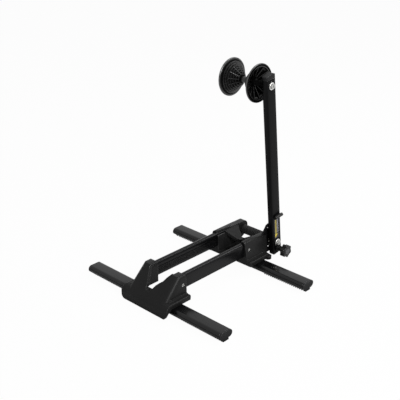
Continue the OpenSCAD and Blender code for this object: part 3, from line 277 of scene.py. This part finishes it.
FINISHES = {
    "foot_metal": foot_metal, "rail_metal": rail_metal, "cap_plastic": cap_nylon, "pad_rubber": pad_rubber,
    "moulding_plastic": body_nylon, "screw_steel": zinc_steel, "roller_rubber": roller_rubber,
    "roller_plastic": roller_acetal, "bolt_steel": zinc_steel, "washer_steel": washer_steel,
    "nylon": bearing_nylon, "plate_paint": plate_paint, "arm_metal": arm_metal, "peg_plastic": knob_nylon,
    "label_film": label_ground, "knob_plastic": knob_nylon, "insert_plastic": insert_abs,
    "disc_plastic": disc_nylon,
}


# Solids of the CAD, shaded smooth and dressed

SMOOTH_BELOW = math.radians(25)
WELD_DISTANCE = 0.005 * MM


def smooth_group(name):
    """Node group that shades a mesh smooth where its faces meet at a small angle."""
    group = bpy.data.node_groups.new(name, "GeometryNodeTree")
    group.interface.new_socket("Geometry", in_out="INPUT", socket_type="NodeSocketGeometry")
    group.interface.new_socket("Geometry", in_out="OUTPUT", socket_type="NodeSocketGeometry")
    start = node(group, "NodeGroupInput")
    plain = node(group, "GeometryNodeRemoveAttribute", {"Geometry": start.outputs[0], "Name": "custom_normal"})
    welded = node(group, "GeometryNodeMergeByDistance", {"Geometry": plain.outputs[0], "Distance": WELD_DISTANCE})
    smooth = node(group, "GeometryNodeSetShadeSmooth", {"Geometry": welded.outputs[0], "Shade Smooth": True},
                  domain="FACE")
    bend = node(group, "GeometryNodeInputMeshEdgeAngle")
    sharp = node(group, "FunctionNodeCompare", {0: bend.outputs["Unsigned Angle"], 1: SMOOTH_BELOW},
                 data_type="FLOAT", operation="GREATER_THAN")
    edged = node(group, "GeometryNodeSetShadeSmooth", {
        "Geometry": smooth.outputs[0], "Selection": sharp.outputs[0], "Shade Smooth": False}, domain="EDGE")
    node(group, "NodeGroupOutput", {"Geometry": edged.outputs[0]})
    return group


smoothing = smooth_group("smooth_by_angle")
for part in frame["record"]["subparts"]:
    solid = frame["nodes"][part["node"]]
    solid.data.materials.clear()
    solid.data.materials.append(FINISHES[part["material_slot"]])
    solid.modifiers.new("smooth_by_angle", "NODES").node_group = smoothing


def piece_from(name, points, faces, finish):
    """New flat-shaded object from points in metres and faces."""
    mesh = bpy.data.meshes.new(name)
    mesh.from_pydata(points, [], faces)
    mesh.materials.append(finish)
    mesh.update()
    made = bpy.data.objects.new(name, mesh)
    bpy.context.scene.collection.objects.link(made)
    return made


# Roller sleeve with its diamond knurl, as rings of points from the bore over the outside and back

KNURL_PITCH = 2.9 * MM
KNURL_DEPTH = 0.8 * MM
# Slope of the grooves' flanks: more makes the diamonds' tops wider
KNURL_SLOPE = 2.0
SLEEVE_WALL = 3 * MM
ROUND_STEPS = 156
LENGTH_STEPS = 156

sleeve_low, sleeve_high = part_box("roller_sleeve")
sleeve_r = (sleeve_high.z - sleeve_low.z) / 2
sleeve_len = sleeve_high.x - sleeve_low.x
# Whole number of diamonds round the sleeve, so that the pattern closes
diamonds = round(math.pi * sleeve_r / KNURL_PITCH)


def knurl_radius(x, angle):
    """Radius of the sleeve's outside, where two sets of slanted grooves cross."""
    turns = angle * diamonds / math.pi
    runs = x / KNURL_PITCH
    ridge = min(abs(math.sin(math.pi * (turns + runs) / 2)), abs(math.sin(math.pi * (turns - runs) / 2)))
    return sleeve_r - KNURL_DEPTH * (1 - min(1.0, ridge * KNURL_SLOPE))


def bore_radius(x, angle):
    """Radius of the sleeve's bore."""
    return sleeve_r - SLEEVE_WALL


def ring(x, radius):
    """Points round the roller's axis, at a radius that may change with place and angle."""
    angles = [2 * math.pi * k / ROUND_STEPS for k in range(ROUND_STEPS)]
    return [(x, pivot.y + radius(x, a) * math.cos(a), pivot.z + radius(x, a) * math.sin(a)) for a in angles]


rings = [ring(sleeve_low.x, bore_radius)]
for i in range(LENGTH_STEPS + 1):
    rings.append(ring(sleeve_low.x + sleeve_len * i / LENGTH_STEPS, knurl_radius))
rings.append(ring(sleeve_high.x, bore_radius))
sleeve_faces = []
for i in range(len(rings)):
    here, there = i * ROUND_STEPS, (i + 1) % len(rings) * ROUND_STEPS
    for k in range(ROUND_STEPS):
        n = (k + 1) % ROUND_STEPS
        sleeve_faces.append((here + k, here + n, there + n, there + k))
knurled_sleeve = piece_from("knurled_sleeve", [p for points in rings for p in points], sleeve_faces,
                            roller_rubber)
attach(knurled_sleeve, "roller")
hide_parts("roller_sleeve")


# Print on the label: a yellow stripe that ends in an arrow tip, and a column of grey tick marks
# Places in mm, across from the arm's middle towards its rear and up from the pivot

PRINT_LIFT = 0.03 * MM
PRINT_EDGE = 6.6
STRIPE_REAR = -0.8
STRIPE_LOW = 25
STRIPE_HIGH = 66.6
ARROW_TIP = (-6.2, 15.5)
ARROW_REAR = 2.4
TICK_FRONT = 0.8
TICK_LOW = 30
TICK_PITCH = 2.6
TICK_WIDTH = 1.3
TICK_SHORTER = 2.2
TICKS = 14

label_face = Vector((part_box("arm_label")[1].x + PRINT_LIFT, pivot.y, pivot.z))


def printed(name, patches, ink):
    """Flat print on the label's face, from the outlines of its patches."""
    points, faces = [], []
    for patch in patches:
        faces.append(tuple(range(len(points), len(points) + len(patch))))
        points += [label_face + arm_rear * across * MM + arm_up * up * MM for across, up in patch]
    made = piece_from(name, points, faces, ink)
    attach(made, "arm")


def upright_patch(front, rear, low, high):
    """Outline of a rectangle, from its lower front corner round."""
    return [(front, low), (rear, low), (rear, high), (front, high)]


printed("label_stripe", [upright_patch(-PRINT_EDGE, STRIPE_REAR, STRIPE_LOW, STRIPE_HIGH)], label_yellow)
printed("label_arrow", [[(-PRINT_EDGE, STRIPE_LOW), ARROW_TIP, (ARROW_REAR, STRIPE_LOW)]], label_bright)
ticks = []
for i in range(TICKS):
    low = TICK_LOW + TICK_PITCH * i
    # Every second tick is shorter
    ticks.append(upright_patch(TICK_FRONT, PRINT_EDGE - TICK_SHORTER * (i % 2), low, low + TICK_WIDTH))
printed("label_ticks", ticks, label_grey)


# Floor and world

FLOOR_HALF = 6.0
WHITE_SEEN = 0.97
WORLD_FILL = 0.06


def seen_white(tree):
    """1 for the rays that see the white background: camera, glossy and transmission rays."""
    path = node(tree, "ShaderNodeLightPath")
    eye = node(tree, "ShaderNodeMath", {0: path.outputs["Is Camera Ray"], 1: path.outputs["Is Glossy Ray"]},
               operation="MAXIMUM")
    return node(tree, "ShaderNodeMath", {0: eye.outputs[0], 1: path.outputs["Is Transmission Ray"]},
                operation="MAXIMUM").outputs[0]


# Painted board: matt and pale, so that the rack's shadow falls on it, yet white to the eye
floor_paint, tree = new_material("floor_pale_painted_board")
matte = node(tree, "ShaderNodeBsdfDiffuse", {"Color": (0.86, 0.86, 0.86, 1)})
white = node(tree, "ShaderNodeEmission", {"Color": (1, 1, 1, 1), "Strength": 1.0})
seen = node(tree, "ShaderNodeMath", {0: seen_white(tree), 1: WHITE_SEEN}, operation="MULTIPLY")
mixed = node(tree, "ShaderNodeMixShader", {0: seen.outputs[0], 1: matte.outputs[0], 2: white.outputs[0]})
node(tree, "ShaderNodeOutputMaterial", {"Surface": mixed.outputs[0]})
floor_corners = [(-FLOOR_HALF, -FLOOR_HALF, 0), (FLOOR_HALF, -FLOOR_HALF, 0),
                 (FLOOR_HALF, FLOOR_HALF, 0), (-FLOOR_HALF, FLOOR_HALF, 0)]
piece_from("floor", floor_corners, [(0, 1, 2, 3)], floor_paint)

world = bpy.data.worlds.new("studio")
bpy.context.scene.world = world
world.use_nodes = True
tree = world.node_tree
tree.nodes.clear()
level = node(tree, "ShaderNodeMapRange", {"Value": seen_white(tree), "To Min": WORLD_FILL, "To Max": WHITE_SEEN})
soft = node(tree, "ShaderNodeBackground", {"Color": (1, 1, 1, 1), "Strength": level.outputs[0]})
node(tree, "ShaderNodeOutputWorld", {"Surface": soft.outputs[0]})


# Lamps, as place and size in metres and power in watts

LAMP_AIM = Vector((0, 0, 0.15))


def softbox(name, place, size, power):
    """Square soft lamp that looks at the rack."""
    lamp = bpy.data.lights.new(name, "AREA")
    lamp.shape = "SQUARE"
    lamp.size = size
    lamp.energy = power
    made = bpy.data.objects.new(name, lamp)
    made.location = place
    made.rotation_euler = (LAMP_AIM - Vector(place)).to_track_quat("-Z", "Y").to_euler()
    bpy.context.scene.collection.objects.link(made)


softbox("overhead_softbox", (0.3, 0.9, 2.4), 1.4, 26)
softbox("right_softbox", (2.0, -0.75, 1.55), 0.8, 40)
softbox("right_edge_softbox", (1.1, 1.8, 1.75), 0.7, 14)


# Camera, as fitted to the long straight edges of feet, rails and arm in the photograph

CAMERA_PLACE = (1165.67 * MM, -1237.85 * MM, 964.78 * MM)
CAMERA_DOWN = math.radians(23.92697)
CAMERA_TURN = math.radians(43.70383)
CAMERA_LENS_MM = 71.01

camera = bpy.data.cameras.new("product_camera")
camera.sensor_width = 36
camera.lens = CAMERA_LENS_MM
camera.clip_end = 50
camera_object = bpy.data.objects.new("product_camera", camera)
camera_object.location = CAMERA_PLACE
camera_object.rotation_euler = (math.radians(90) - CAMERA_DOWN, 0, CAMERA_TURN)
bpy.context.scene.collection.objects.link(camera_object)
bpy.context.scene.camera = camera_object
bpy.context.scene.view_settings.view_transform = "Standard"
